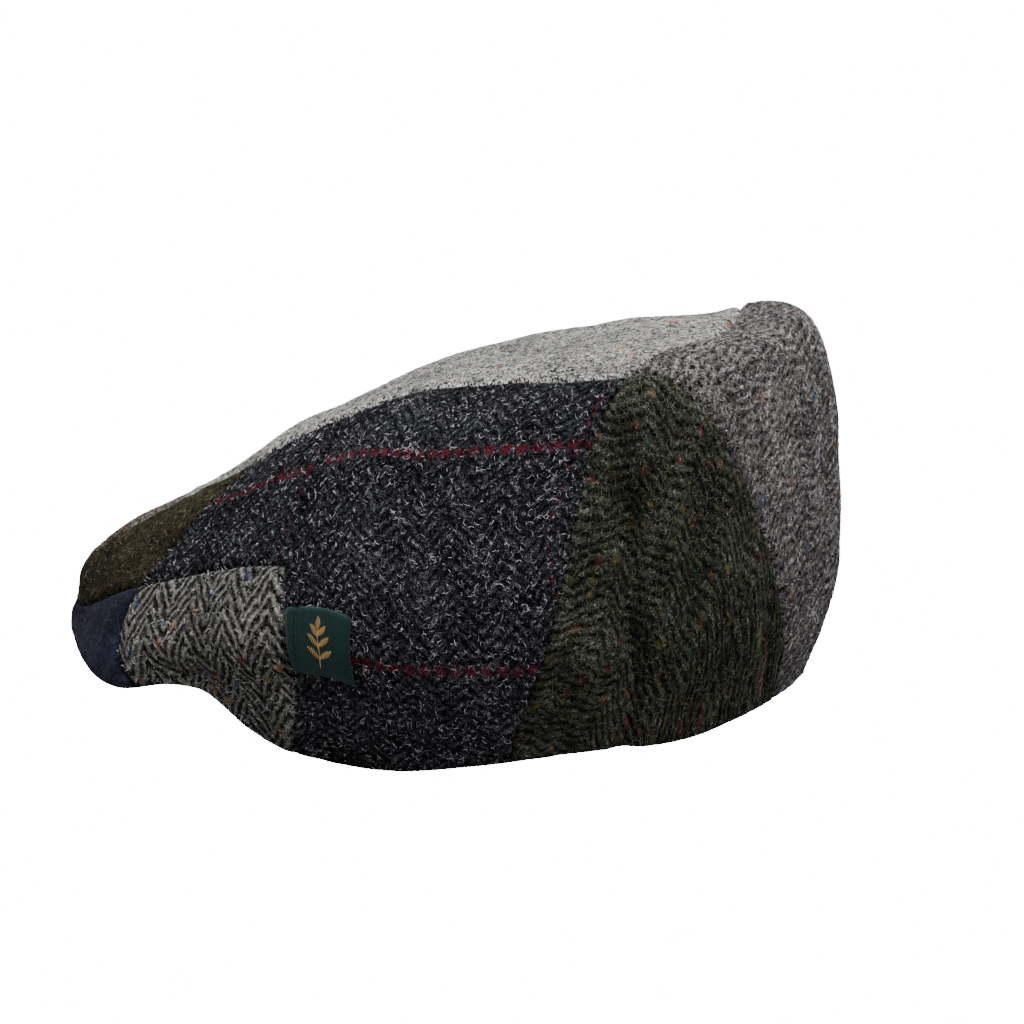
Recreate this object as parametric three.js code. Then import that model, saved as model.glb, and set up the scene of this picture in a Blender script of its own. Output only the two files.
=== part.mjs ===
// A patchwork tweed flat cap, resting on its rim. Millimetres, +Z up, front towards -Y, wearer's left +X.
import * as THREE from 'three';

// Main sizes.
const HALF_WIDTH = 95;
const FRONT_REACH = 160;
const BACK_REACH = 115;
const AXIS_Y = 21.6;
const CROWN_HEIGHT = 138;
const MIDDLE_HEIGHT = 0.93;

// The cap leans back on its rim by this angle and stands this far up.
const REST_LEAN = 4;
const REST_LIFT = -1.9;

const CLOTH = 2.4;
const SEAM_GAP = 0.5;
const SEAM_DIP = 0.9;
const SEAM_TURN = 0.35;

const PEAK_THICKNESS = 3;
const PEAK_DEPTH = 50;
const PEAK_HALF_ANGLE = 48;
const PEAK_END = 5;
const PEAK_RISE = 9;
const PEAK_LIFT = 1;
const PEAK_INSET = 4.4;
const PEAK_BEVEL = 3.2;

const LABEL_THICKNESS = 1;
const LABEL_GAP = 0.45;

// One row for each azimuth from the front, the same on both sides. A reach is a share of the plan's
// ellipse at that azimuth, a height a share of CROWN_HEIGHT.
const RINGS = [0.36, 0.64, 0.84, 1];
const SECTIONS = [
  // azimuth, top reach, height, shoulder reach, height, wall reach, height, edge reach, height
  [0, 0.43, 0.75, 0.71, 0.53, 0.93, 0.388, 1.02, 0.225],
  [18, 0.46, 0.77, 0.745, 0.56, 0.985, 0.374, 1.06, 0.182],
  [32, 0.51, 0.785, 0.79, 0.565, 1.00, 0.315, 1.08, 0.13],
  [44, 0.56, 0.80, 0.825, 0.575, 1.00, 0.29, 0.96, 0.14],
  [48, 0.57, 0.805, 0.83, 0.58, 1.00, 0.285, 0.905, 0.066],
  [53, 0.58, 0.815, 0.84, 0.59, 1.00, 0.28, 0.87, 0.026],
  [62, 0.59, 0.835, 0.86, 0.62, 1.01, 0.275, 0.84, 0.006],
  [75, 0.60, 0.87, 0.87, 0.66, 1.01, 0.30, 0.82, 0.00],
  [100, 0.61, 0.915, 0.87, 0.745, 1.01, 0.34, 0.81, 0.037],
  [125, 0.61, 0.965, 0.865, 0.825, 0.985, 0.36, 0.81, 0.08],
  [152, 0.60, 1.00, 0.89, 0.955, 0.955, 0.40, 0.82, 0.10],
  [166, 0.59, 1.005, 0.90, 0.97, 0.955, 0.40, 0.85, 0.138],
  [180, 0.585, 1.005, 0.905, 0.97, 0.955, 0.40, 0.86, 0.155],
];

// Folds and swells, the same on both sides: a line on the flat pattern, its width and its height.
const FOLDS = [
  // from left, from back, to left, to back, width, height
  [0.65, -0.72, 0.78, -0.38, 0.045, -3.2],
  [0.56, -0.69, 0.68, -0.46, 0.085, 3.0],
  [0.27, -0.61, 0.31, -0.58, 0.06, 2.4],
  [0.49, 0.44, 0.62, 0.54, 0.05, -1.8],
  [0.62, 0.54, 0.69, 0.70, 0.05, -1.4],
  [0.46, 0.52, 0.56, 0.66, 0.08, 1.6],
  [0.00, -0.50, 0.00, -0.20, 0.14, -1.6],
];

// Seams on the flat pattern: shares to the left and to the back of the middle.
const LONG_SEAM = [
  [0.19, -0.95],
  [0.21, -0.65],
  [0.238, -0.48],
  [0.262, -0.22],
  [0.30, 0.00],
  [0.365, 0.38],
  [0.35, 0.55],
  [0.275, 0.72],
  [0.205, 0.86],
  [0.16, 0.9871],
];
const FRONT_SEAM = [[0, -0.965], [0.19, -0.95], [0.315, -0.865], [0.39, -0.705]];
const SLANT_SEAM = [[0.238, -0.48], [0.32, -0.55], [0.36, -0.63], [0.39, -0.705]];
const TEMPLE_TOP_SEAM = [[0.39, -0.705], [0.47, -0.57], [0.54, -0.47], [0.615, -0.36]];
const TEMPLE_FRONT_SEAM = [[0.39, -0.705], [0.475, -0.785], [0.581, -0.814]];
const TEMPLE_BACK_SEAM = [[0.615, -0.36], [0.69, -0.35], [0.78, -0.37], [0.839, -0.545]];
const SIDE_LINE = [[0.262, -0.22], [0.45, -0.29], [0.615, -0.36]];
const BACK_SEAM = [[0.365, 0.38], [0.51, 0.385], [0.65, 0.38], [0.80, 0.36], [0.9455, 0.3256]];
const LABEL_CORNERS = [[0.686, -0.335], [0.766, -0.155], [0.852, -0.165], [0.775, -0.345]];

// Cloths: colour and roughness.
const CLOTHS = {
  mauve_brown_tweed: ['#6b625f', 0.95],
  cream_marl_tweed: ['#8b8780', 0.95],
  mauve_grey_marl_tweed: ['#77716f', 0.95],
  olive_tweed: ['#3a3a26', 0.95],
  charcoal_marl_tweed: ['#35353a', 0.95],
  salt_pepper_herringbone: ['#6f6a5e', 0.95],
  green_herringbone_tweed: ['#2c3024', 0.95],
  navy_felted_wool: ['#1f2333', 0.95],
  peak_lining: ['#23242a', 0.9],
  label_weave: ['#12312a', 0.8],
};

// A smooth curve through the values at the knots.
function smooth(knots, values, at) {
  const last = knots.length - 1;
  let i = 0;
  while (i < last - 1 && at > knots[i + 1]) {
    i += 1;
  }
  const slope = (k) => (values[k + 1] - values[k]) / (knots[k + 1] - knots[k]);
  const tangent = (k) => {
    if (k === 0) {
      return slope(0);
    }
    if (k === last) {
      return slope(last - 1);
    }
    const w = (knots[k + 1] - knots[k]) / (knots[k + 1] - knots[k - 1]);
    return slope(k - 1) * w + slope(k) * (1 - w);
  };
  const h = knots[i + 1] - knots[i];
  const t = (at - knots[i]) / h;
  const t2 = t * t;
  const t3 = t2 * t;
  return (2 * t3 - 3 * t2 + 1) * values[i] + (t3 - 2 * t2 + t) * h * tangent(i)
    + (3 * t2 - 2 * t3) * values[i + 1] + (t3 - t2) * h * tangent(i + 1);
}

// The sections all the way round, with a few repeated so that the curve closes smoothly.
function sectionsAround() {
  const mirrored = SECTIONS.slice(1, -1).reverse().map((row) => [360 - row[0], ...row.slice(1)]);
  const round = [...SECTIONS, ...mirrored];
  const before = round.slice(-3).map((row) => [row[0] - 360, ...row.slice(1)]);
  const after = round.slice(0, 3).map((row) => [row[0] + 360, ...row.slice(1)]);
  return [...before, ...round, ...after];
}

const AROUND = sectionsAround();
const AZIMUTHS = AROUND.map((row) => row[0]);
const COLUMNS = SECTIONS[0].slice(1).map((_, c) => AROUND.map((row) => row[c + 1]));

// Reach and height of the four rings at an azimuth.
function section(azimuth) {
  const sin = Math.sin(azimuth);
  const cos = Math.cos(azimuth);
  const reach = 1 / Math.hypot(sin / HALF_WIDTH, cos / (cos > 0 ? FRONT_REACH : BACK_REACH));
  const degrees = THREE.MathUtils.euclideanModulo(THREE.MathUtils.radToDeg(azimuth), 360);
  return RINGS.map((_, ring) => ({
    reach: reach * smooth(AZIMUTHS, COLUMNS[2 * ring], degrees),
    height: CROWN_HEIGHT * smooth(AZIMUTHS, COLUMNS[2 * ring + 1], degrees),
  }));
}

// The cap's outside without its folds; p is the share to the left, q the share to the back.
function plainSurface(p, q) {
  const azimuth = Math.atan2(p, -q);
  const near = section(azimuth);
  const far = section(azimuth + Math.PI)[0];
  const knots = [-RINGS[0], 0, ...RINGS];
  const share = Math.hypot(p, q);
  const reach = smooth(knots, [-far.reach, 0, ...near.map((ring) => ring.reach)], share);
  const middle = MIDDLE_HEIGHT * CROWN_HEIGHT;
  const height = smooth(knots, [far.height, middle, ...near.map((ring) => ring.height)], share);
  return new THREE.Vector3(reach * Math.sin(azimuth), -reach * Math.cos(azimuth), height);
}

function normalOf(surface, p, q) {
  const d = 0.004;
  const across = surface(p + d, q).sub(surface(p - d, q));
  const back = surface(p, q + d).sub(surface(p, q - d));
  return across.cross(back).normalize();
}

// Height of all folds together at a place on the pattern.
function foldHeight(p, q) {
  let height = 0;
  for (const [fromLeft, fromBack, toLeft, toBack, width, rise] of FOLDS) {
    const line = new THREE.Line3(new THREE.Vector3(fromLeft, fromBack), new THREE.Vector3(toLeft, toBack));
    const place = new THREE.Vector3(Math.abs(p), q);
    const nearest = line.closestPointToPoint(place, true, new THREE.Vector3());
    height += rise * Math.exp(-((nearest.distanceTo(place) / width) ** 2));
  }
  return height;
}

// The cap's outside as it rests.
function surface(p, q) {
  const point = plainSurface(p, q).addScaledVector(normalOf(plainSurface, p, q), foldHeight(p, q));
  point.applyAxisAngle(new THREE.Vector3(1, 0, 0), -THREE.MathUtils.degToRad(REST_LEAN));
  return point.add(new THREE.Vector3(0, AXIS_Y, REST_LIFT));
}

// A line through points on the pattern, by the share of its way.
function lineThrough(points) {
  const knots = [0];
  for (let i = 1; i < points.length; i += 1) {
    const [a, b] = [points[i - 1], points[i]];
    knots.push(knots[i - 1] + Math.hypot(b[0] - a[0], b[1] - a[1]));
  }
  const length = knots[knots.length - 1];
  const left = points.map((point) => point[0]);
  const back = points.map((point) => point[1]);
  return (t) => [smooth(knots, left, t * length), smooth(knots, back, t * length)];
}

// A part of a line, from one of its points to another.
function between(points, from, to) {
  return lineThrough(points.slice(from, to + 1));
}

// An arc of the pattern's edge between two azimuths, in degrees.
function edgeArc(from, to) {
  return (t) => {
    const azimuth = THREE.MathUtils.degToRad(from + (to - from) * t);
    return [Math.sin(azimuth), -Math.cos(azimuth)];
  };
}

function azimuthOf([left, back]) {
  return THREE.MathUtils.radToDeg(Math.atan2(left, -back));
}

function endOf(points) {
  return points[points.length - 1];
}

function mirrored(line) {
  return (t) => {
    const [left, back] = line(t);
    return [-left, back];
  };
}

// Two lines, one after the other, meeting at the given share.
function joined(first, second, share) {
  return (t) => (t <= share ? first(t / share) : second((t - share) / (1 - share)));
}

// Shares of the way with narrow steps by both ends, where the cloth turns down into a seam.
function shares(count) {
  const turn = SEAM_TURN / count;
  const inner = Array.from({ length: count - 1 }, (_, i) => turn + (1 - 2 * turn) * ((i + 1) / count));
  return [0, turn, ...inner, 1 - turn, 1];
}

// Share of a side's way at each row, taking in the point where its two lines meet.
function sharesWithMeeting(first, second, meeting) {
  const upper = shares(first).slice(0, -2).map((t) => t * meeting);
  const lower = shares(second).slice(2).map((t) => meeting + t * (1 - meeting));
  return [...upper, meeting, ...lower];
}

// How far a line bends away from the straight way between its ends.
function bend(line, t, k) {
  return line(t)[k] - (1 - t) * line(0)[k] - t * line(1)[k];
}

// A flat net over a four-sided part of the pattern, added to the net of its piece. The bends of its
// front and back fade over the given share of its width.
function addPatch(net, { top, bottom, front, back, across, down, fade = 1 }) {
  const blend = (u, v) => [0, 1].map((k) => (1 - v) * top(u)[k] + v * bottom(u)[k]
    + Math.max(0, 1 - u / fade) * bend(front, v, k)
    + Math.max(0, 1 - (1 - u) / fade) * bend(back, v, k));
  const index = (u, v) => {
    const point = blend(u, v);
    const key = point.map((share) => Math.round(share * 1e4)).join();
    if (!net.keys.has(key)) {
      net.keys.set(key, net.points.length);
      net.points.push(point);
    }
    return net.keys.get(key);
  };
  const addFace = (a, b, c) => {
    const [pa, pb, pc] = [a, b, c].map((i) => net.points[i]);
    const area = (pb[0] - pa[0]) * (pc[1] - pa[1]) - (pb[1] - pa[1]) * (pc[0] - pa[0]);
    if (a !== b && b !== c && c !== a) {
      net.faces.push(area > 0 ? [a, b, c] : [a, c, b]);
    }
  };
  for (let j = 1; j < down.length; j += 1) {
    for (let i = 1; i < across.length; i += 1) {
      const a = index(across[i - 1], down[j - 1]);
      const b = index(across[i], down[j - 1]);
      const c = index(across[i], down[j]);
      const d = index(across[i - 1], down[j]);
      addFace(a, b, c);
      addFace(a, c, d);
    }
  }
  return net;
}

function netOf(...patches) {
  const net = { points: [], faces: [], keys: new Map() };
  patches.forEach((patch) => addPatch(net, patch));
  return net;
}

// The edges that only one face has, each with that face on its left.
function borderOf(faces) {
  const edges = new Set(faces.flatMap(([a, b, c]) => [[a, b], [b, c], [c, a]]).map((edge) => edge.join()));
  return [...edges].map((edge) => edge.split(',').map(Number)).filter(([a, b]) => !edges.has([b, a].join()));
}

// Moves the border of a piece in from the seam by half of its gap.
function drawIn(points, normals, border) {
  const inward = new Map();
  for (const [a, b] of border) {
    const along = points[b].clone().sub(points[a]);
    const side = normals[a].clone().add(normals[b]).cross(along).normalize();
    for (const i of [a, b]) {
      inward.set(i, [...(inward.get(i) ?? []), side]);
    }
  }
  for (const [i, sides] of inward) {
    const sum = sides.reduce((total, side) => total.add(side), new THREE.Vector3());
    const corner = Math.min(3, 2 / sum.length());
    points[i].addScaledVector(sum.normalize(), corner * SEAM_GAP / 2);
  }
}

// A closed solid between an outer and an inner offset of the cap's surface over a net.
function clothSolid(net, outer, inner, dip) {
  const normals = net.points.map(([p, q]) => normalOf(surface, p, q));
  const middle = net.points.map(([p, q]) => surface(p, q));
  const border = borderOf(net.faces);
  drawIn(middle, normals, border);
  const onBorder = new Set(border.flat());
  const count = middle.length;
  const offset = (i, by) => middle[i].clone().addScaledVector(normals[i], by);
  const outside = middle.map((_, i) => offset(i, outer - (onBorder.has(i) ? dip : 0)));
  const inside = middle.map((_, i) => offset(i, inner));
  const faces = [
    ...net.faces,
    ...net.faces.map(([a, b, c]) => [a + count, c + count, b + count]),
    ...border.flatMap(([a, b]) => [[b, a, a + count], [b, a + count, b + count]]),
  ];
  return solid([...outside, ...inside], faces);
}

function solid(points, faces) {
  const geometry = new THREE.BufferGeometry();
  geometry.setAttribute('position', new THREE.Float32BufferAttribute(points.flatMap((v) => v.toArray()), 3));
  geometry.setIndex(faces.flat());
  geometry.computeVertexNormals();
  return geometry;
}

// The stiff peak: a crescent under its cover, thin at the temples.
function peakSolid() {
  const columns = 24;
  const rows = 4;
  const points = [];
  const faces = [];
  for (let i = 0; i <= columns; i += 1) {
    const share = -1 + (2 * i) / columns;
    const azimuth = THREE.MathUtils.degToRad(PEAK_HALF_ANGLE * share);
    const edge = surface(Math.sin(azimuth), -Math.cos(azimuth));
    const out = normalOf(surface, Math.sin(azimuth), -Math.cos(azimuth)).setZ(0).normalize();
    const back = new THREE.Vector3(-Math.sin(azimuth), Math.cos(azimuth), 0);
    const depth = PEAK_END + (PEAK_DEPTH - PEAK_END) * (1 - share * share);
    for (const level of [0, 1]) {
      const front = edge.clone().addScaledVector(out, -PEAK_INSET - level * PEAK_BEVEL);
      front.z += PEAK_LIFT + level * PEAK_THICKNESS;
      for (let j = 0; j <= rows; j += 1) {
        const way = j / rows;
        const point = front.clone().addScaledVector(back, depth * way);
        point.z += PEAK_RISE * way * (depth / PEAK_DEPTH);
        points.push(point);
      }
    }
  }
  const at = (i, level, j) => (i * 2 + level) * (rows + 1) + j;
  const quad = (a, b, c, d) => faces.push([a, b, c], [a, c, d]);
  for (let i = 0; i < columns; i += 1) {
    for (let j = 0; j < rows; j += 1) {
      quad(at(i, 1, j), at(i + 1, 1, j), at(i + 1, 1, j + 1), at(i, 1, j + 1));
      quad(at(i, 0, j), at(i, 0, j + 1), at(i + 1, 0, j + 1), at(i + 1, 0, j));
    }
    quad(at(i, 0, 0), at(i + 1, 0, 0), at(i + 1, 1, 0), at(i, 1, 0));
    quad(at(i, 0, rows), at(i, 1, rows), at(i + 1, 1, rows), at(i + 1, 0, rows));
  }
  for (let j = 0; j < rows; j += 1) {
    quad(at(0, 0, j), at(0, 1, j), at(0, 1, j + 1), at(0, 0, j + 1));
    quad(at(columns, 0, j), at(columns, 0, j + 1), at(columns, 1, j + 1), at(columns, 1, j));
  }
  return solid(points, faces);
}

// The panels of the left side; the right side mirrors them.
function sidePanels() {
  const edgeFront = azimuthOf(endOf(TEMPLE_FRONT_SEAM));
  const edgeTemple = azimuthOf(endOf(TEMPLE_BACK_SEAM));
  const edgeBack = azimuthOf(endOf(BACK_SEAM));
  const edgeEnd = azimuthOf(endOf(LONG_SEAM));
  const meeting = 0.52; // the side line's share of the way down to the rim
  const still = (points, i) => () => points[i];
  return {
    front: [{
      top: between(LONG_SEAM, 0, 2),
      bottom: lineThrough(FRONT_SEAM.slice(1)),
      front: still(LONG_SEAM, 0),
      back: lineThrough(SLANT_SEAM),
      across: shares(7),
      down: shares(4),
    }],
    side: [{
      top: between(LONG_SEAM, 2, 3),
      bottom: lineThrough(TEMPLE_TOP_SEAM),
      front: lineThrough(SLANT_SEAM),
      back: lineThrough(SIDE_LINE),
      across: shares(6),
      down: shares(7),
    }, {
      top: between(LONG_SEAM, 3, 5),
      bottom: edgeArc(edgeTemple, edgeBack),
      front: joined(lineThrough(SIDE_LINE), lineThrough(TEMPLE_BACK_SEAM), meeting),
      back: lineThrough(BACK_SEAM),
      across: shares(10),
      down: sharesWithMeeting(7, 8, meeting),
    }],
    temple: [{
      top: lineThrough(TEMPLE_TOP_SEAM),
      bottom: edgeArc(edgeFront, edgeTemple),
      front: lineThrough(TEMPLE_FRONT_SEAM),
      back: lineThrough(TEMPLE_BACK_SEAM),
      across: shares(7),
      down: shares(7),
    }],
    back: [{
      top: between(LONG_SEAM, 5, 9),
      bottom: edgeArc(edgeBack, edgeEnd),
      front: lineThrough(BACK_SEAM),
      back: still(LONG_SEAM, 9),
      across: shares(13),
      down: shares(13),
    }],
  };
}

function mirrorPatch(patch) {
  const sides = ['top', 'bottom', 'front', 'back'];
  return { ...patch, ...Object.fromEntries(sides.map((side) => [side, mirrored(patch[side])])) };
}

// The middle strip between the two long seams, from one of their points to another.
function stripPatch(from, to, across, down, frontLine, backLine) {
  const seam = between(LONG_SEAM, from, to);
  const straight = (t) => (u) => {
    const [left, back] = seam(t);
    return [left * (2 * u - 1), back];
  };
  return {
    top: frontLine ?? straight(0),
    bottom: backLine ?? straight(1),
    front: mirrored(seam),
    back: seam,
    across: shares(across),
    down: shares(down),
  };
}

// A line over the whole width from its left half.
function wholeWidth(half) {
  return (t) => (t < 0.5 ? mirrored(half)(1 - 2 * t) : half(2 * t - 1));
}

function capPieces() {
  const sides = sidePanels();
  const edgeFront = azimuthOf(endOf(TEMPLE_FRONT_SEAM));
  const edgeEnd = azimuthOf(endOf(LONG_SEAM));
  const frontLine = wholeWidth(between(FRONT_SEAM, 0, 1));
  const backLine = edgeArc(360 - edgeEnd, edgeEnd);
  const pieces = [
    ['crown_top_front', 'mauve_brown_tweed', [stripPatch(0, 1, 8, 5, frontLine)]],
    ['crown_top_middle', 'cream_marl_tweed', [stripPatch(1, 5, 10, 17)]],
    ['crown_top_back', 'mauve_grey_marl_tweed', [stripPatch(5, 9, 11, 18, undefined, backLine)]],
    ['peak_cover', 'navy_felted_wool', [{
      top: wholeWidth(lineThrough(FRONT_SEAM)),
      bottom: edgeArc(-edgeFront, edgeFront),
      front: mirrored(lineThrough(TEMPLE_FRONT_SEAM)),
      back: lineThrough(TEMPLE_FRONT_SEAM),
      across: shares(22),
      down: shares(3),
      fade: 0.14,
    }]],
  ];
  const sideCloths = [
    ['front', 'olive_tweed'],
    ['side', 'charcoal_marl_tweed'],
    ['temple', 'salt_pepper_herringbone'],
    ['back', 'green_herringbone_tweed'],
  ];
  for (const [name, cloth] of sideCloths) {
    pieces.push([`crown_left_${name}`, cloth, sides[name]]);
    pieces.push([`crown_right_${name}`, cloth, sides[name].map(mirrorPatch)]);
  }
  return pieces;
}

function labelNet() {
  const [topFront, topBack, bottomBack, bottomFront] = LABEL_CORNERS;
  return netOf({
    top: lineThrough([topFront, topBack]),
    bottom: lineThrough([bottomFront, bottomBack]),
    front: lineThrough([topFront, bottomFront]),
    back: lineThrough([topBack, bottomBack]),
    across: [0, 0.2, 0.4, 0.6, 0.8, 1],
    down: [0, 0.2, 0.4, 0.6, 0.8, 1],
  });
}

function meshOf(name, cloth, geometry) {
  const [color, roughness] = CLOTHS[cloth];
  const material = new THREE.MeshStandardMaterial({ name: cloth, color, roughness, metalness: 0 });
  const mesh = new THREE.Mesh(geometry, material);
  mesh.name = name;
  return mesh;
}

const cap = new THREE.Group();
cap.name = 'flat_cap';
for (const [name, cloth, patches] of capPieces()) {
  cap.add(meshOf(name, cloth, clothSolid(netOf(...patches), 0, -CLOTH, SEAM_DIP)));
}
cap.add(meshOf('peak', 'peak_lining', peakSolid()));
const labelSolid = clothSolid(labelNet(), LABEL_GAP + LABEL_THICKNESS, LABEL_GAP, 0);
cap.add(meshOf('side_label', 'label_weave', labelSolid));

export default cap;
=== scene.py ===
"""A patchwork tweed flat cap on a pale floor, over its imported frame. Metres, +Z up, front towards -Y."""

import math

import bmesh
import bpy
import numpy as np
from mathutils import Matrix, Vector, kdtree


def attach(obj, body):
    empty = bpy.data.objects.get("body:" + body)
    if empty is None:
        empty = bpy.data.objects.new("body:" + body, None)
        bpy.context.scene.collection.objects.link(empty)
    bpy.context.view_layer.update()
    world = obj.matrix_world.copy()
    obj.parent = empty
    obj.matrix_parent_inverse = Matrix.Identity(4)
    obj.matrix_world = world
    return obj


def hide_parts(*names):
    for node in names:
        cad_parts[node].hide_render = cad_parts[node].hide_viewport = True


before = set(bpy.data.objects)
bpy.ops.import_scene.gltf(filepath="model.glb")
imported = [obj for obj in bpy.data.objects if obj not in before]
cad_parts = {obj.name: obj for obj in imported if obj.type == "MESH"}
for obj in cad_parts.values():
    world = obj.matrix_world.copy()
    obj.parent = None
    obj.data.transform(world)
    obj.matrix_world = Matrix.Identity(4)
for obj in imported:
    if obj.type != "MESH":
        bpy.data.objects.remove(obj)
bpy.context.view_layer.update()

MM = 0.001

# The cap's sizes in millimetres, as in the model.
HALF_WIDTH = 95
FRONT_REACH = 160
BACK_REACH = 115
AXIS_Y = 21.6
CROWN_HEIGHT = 138
MIDDLE_HEIGHT = 0.93
REST_LEAN = 4
REST_LIFT = -1.9
CLOTH = 2.4
SEAM_GAP = -0.8
PEAK_THICKNESS = 3
PEAK_DEPTH = 50
PEAK_HALF_ANGLE = 48
PEAK_END = 5
PEAK_RISE = 9
PEAK_LIFT = 1
PEAK_INSET = 4.4
PEAK_BEVEL = 3.2
LABEL_THICKNESS = 1
LABEL_GAP = 0.45
LABEL_WIDTH = 25

# What only the fine cloth has.
MESH_STEP = 1.5
SEAM_ROLL = 2.8
SEAM_SINK = 2.1
PUCKER = 0.35
PUCKER_REACH = 6
LUMPS = 0.55
SMALL_LUMPS = 0.45
CORNER_LIMIT = 3

# Steps of the pattern, whose radius is 1, and of lines on it.
PATTERN_STEP = 0.003
PLACES_ACROSS = 2e5
LINE_SAMPLES = 40
LEAST_STEPS = 3

# The stiff peak's net and how far its pieces are joined.
PEAK_COLUMNS = 120
PEAK_ROWS = 29
PEAK_SIDE_REACH = 60
WELD = 0.02

# The label: rounding of its edge, bow of its free part, and the sewn line that pinches it.
LABEL_STEPS = 26
LABEL_EDGE = 0.6
LABEL_SEWN = 0.25
LABEL_BOW = 0.5
LABEL_STITCH = 0.16
LABEL_PINCH = 0.45
LABEL_PINCH_WIDTH = 0.03

# Threads on the label.
THREAD_SIDES = 5
THREAD_STEPS = 5
THREAD_ARCH = 0.12
THREAD_TIP = 0.5
THREAD_WELD = 0.001
SPRIG_THREAD = 0.34
STITCH_THREAD = 0.3
STITCH_LENGTH = 0.07
STITCH_PITCH = 0.1
LEAF_STITCHES = 8
LEAF_HALF_WIDTH = 0.042
LEAF_FULLNESS = 0.8
LEAF_SLANT = 0.5

# Loose hairs: segments, width, how high they stand, and how they curl, roll and vary.
HAIR_STEPS = 3
HAIR_WIDTH = 0.10
HAIR_LIFT = 0.35
HAIR_ROOT = 0.05
HAIR_TIP = 0.45
HAIR_CURL = 0.9
HAIR_ROLL = 0.9
HAIR_EVENNESS = 4
HAIR_LONGEST = 1.6

RINGS = [0.36, 0.64, 0.84, 1]
SECTIONS = np.array([
    # azimuth, top reach, height, shoulder reach, height, wall reach, height, edge reach, height
    [0, 0.43, 0.75, 0.71, 0.53, 0.93, 0.388, 1.02, 0.225],
    [18, 0.46, 0.77, 0.745, 0.56, 0.985, 0.374, 1.06, 0.182],
    [32, 0.51, 0.785, 0.79, 0.565, 1.00, 0.315, 1.08, 0.13],
    [44, 0.56, 0.80, 0.825, 0.575, 1.00, 0.29, 0.96, 0.14],
    [48, 0.57, 0.805, 0.83, 0.58, 1.00, 0.285, 0.905, 0.066],
    [53, 0.58, 0.815, 0.84, 0.59, 1.00, 0.28, 0.87, 0.026],
    [62, 0.59, 0.835, 0.86, 0.62, 1.01, 0.275, 0.84, 0.006],
    [75, 0.60, 0.87, 0.87, 0.66, 1.01, 0.30, 0.82, 0.00],
    [100, 0.61, 0.915, 0.87, 0.745, 1.01, 0.34, 0.81, 0.037],
    [125, 0.61, 0.965, 0.865, 0.825, 0.985, 0.36, 0.81, 0.08],
    [152, 0.60, 1.00, 0.89, 0.955, 0.955, 0.40, 0.82, 0.10],
    [166, 0.59, 1.005, 0.90, 0.97, 0.955, 0.40, 0.85, 0.138],
    [180, 0.585, 1.005, 0.905, 0.97, 0.955, 0.40, 0.86, 0.155],
])

FOLDS = [
    # from left, from back, to left, to back, width, height
    [0.65, -0.72, 0.78, -0.38, 0.045, -3.2],
    [0.56, -0.69, 0.68, -0.46, 0.085, 3.0],
    [0.27, -0.61, 0.31, -0.58, 0.06, 2.4],
    [0.49, 0.44, 0.62, 0.54, 0.05, -1.8],
    [0.62, 0.54, 0.69, 0.70, 0.05, -1.4],
    [0.46, 0.52, 0.56, 0.66, 0.08, 1.6],
    [0.00, -0.50, 0.00, -0.20, 0.14, -1.6],
]

LONG_SEAM = [
    [0.19, -0.95],
    [0.21, -0.65],
    [0.238, -0.48],
    [0.262, -0.22],
    [0.30, 0.00],
    [0.365, 0.38],
    [0.35, 0.55],
    [0.275, 0.72],
    [0.205, 0.86],
    [0.16, 0.9871],
]
FRONT_SEAM = [[0, -0.965], [0.19, -0.95], [0.315, -0.865], [0.39, -0.705]]
SLANT_SEAM = [[0.238, -0.48], [0.32, -0.55], [0.36, -0.63], [0.39, -0.705]]
TEMPLE_TOP_SEAM = [[0.39, -0.705], [0.47, -0.57], [0.54, -0.47], [0.615, -0.36]]
TEMPLE_FRONT_SEAM = [[0.39, -0.705], [0.475, -0.785], [0.581, -0.814]]
TEMPLE_BACK_SEAM = [[0.615, -0.36], [0.69, -0.35], [0.78, -0.37], [0.839, -0.545]]
SIDE_LINE = [[0.262, -0.22], [0.45, -0.29], [0.615, -0.36]]
BACK_SEAM = [[0.365, 0.38], [0.51, 0.385], [0.65, 0.38], [0.80, 0.36], [0.9455, 0.3256]]
SIDE_DRIFT = [
    # across, down: how far the weave of the side panel lies below lines that follow the long seam
    [-60, -7],
    [-27, -8],
    [6, -2],
    [51, 6],
    [78, 2.5],
    [101, -3],
]
LABEL_CORNERS = [[0.686, -0.335], [0.766, -0.155], [0.852, -0.165], [0.775, -0.345]]


# The cap's surface.

def smooth(knots, values, at):
    """A smooth curve through the values at the knots."""
    knots = np.asarray(knots, float)
    values = np.asarray(values, float)
    slope = np.diff(values, axis=0) / np.diff(knots)[:, None]
    share = (np.diff(knots)[1:] / (knots[2:] - knots[:-2]))[:, None]
    tangent = np.vstack([slope[:1], slope[:-1] * share + slope[1:] * (1 - share), slope[-1:]])
    i = np.clip(np.searchsorted(knots, at, side="left") - 1, 0, len(knots) - 2)
    h = (knots[i + 1] - knots[i])[..., None]
    t = (at - knots[i])[..., None] / h
    return ((2 * t**3 - 3 * t**2 + 1) * values[i] + (t**3 - 2 * t**2 + t) * h * tangent[i]
            + (3 * t**2 - 2 * t**3) * values[i + 1] + (t**3 - t**2) * h * tangent[i + 1])


def sections_around():
    """The sections of both sides, with a few more on each end so that the curve closes smoothly."""
    mirrored = SECTIONS[-2:0:-1].copy()
    mirrored[:, 0] = 360 - mirrored[:, 0]
    whole = np.vstack([SECTIONS, mirrored])
    turn = np.zeros(SECTIONS.shape[1])
    turn[0] = 360
    return np.vstack([whole[-3:] - turn, whole, whole[:3] + turn])


AROUND = sections_around()


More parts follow.
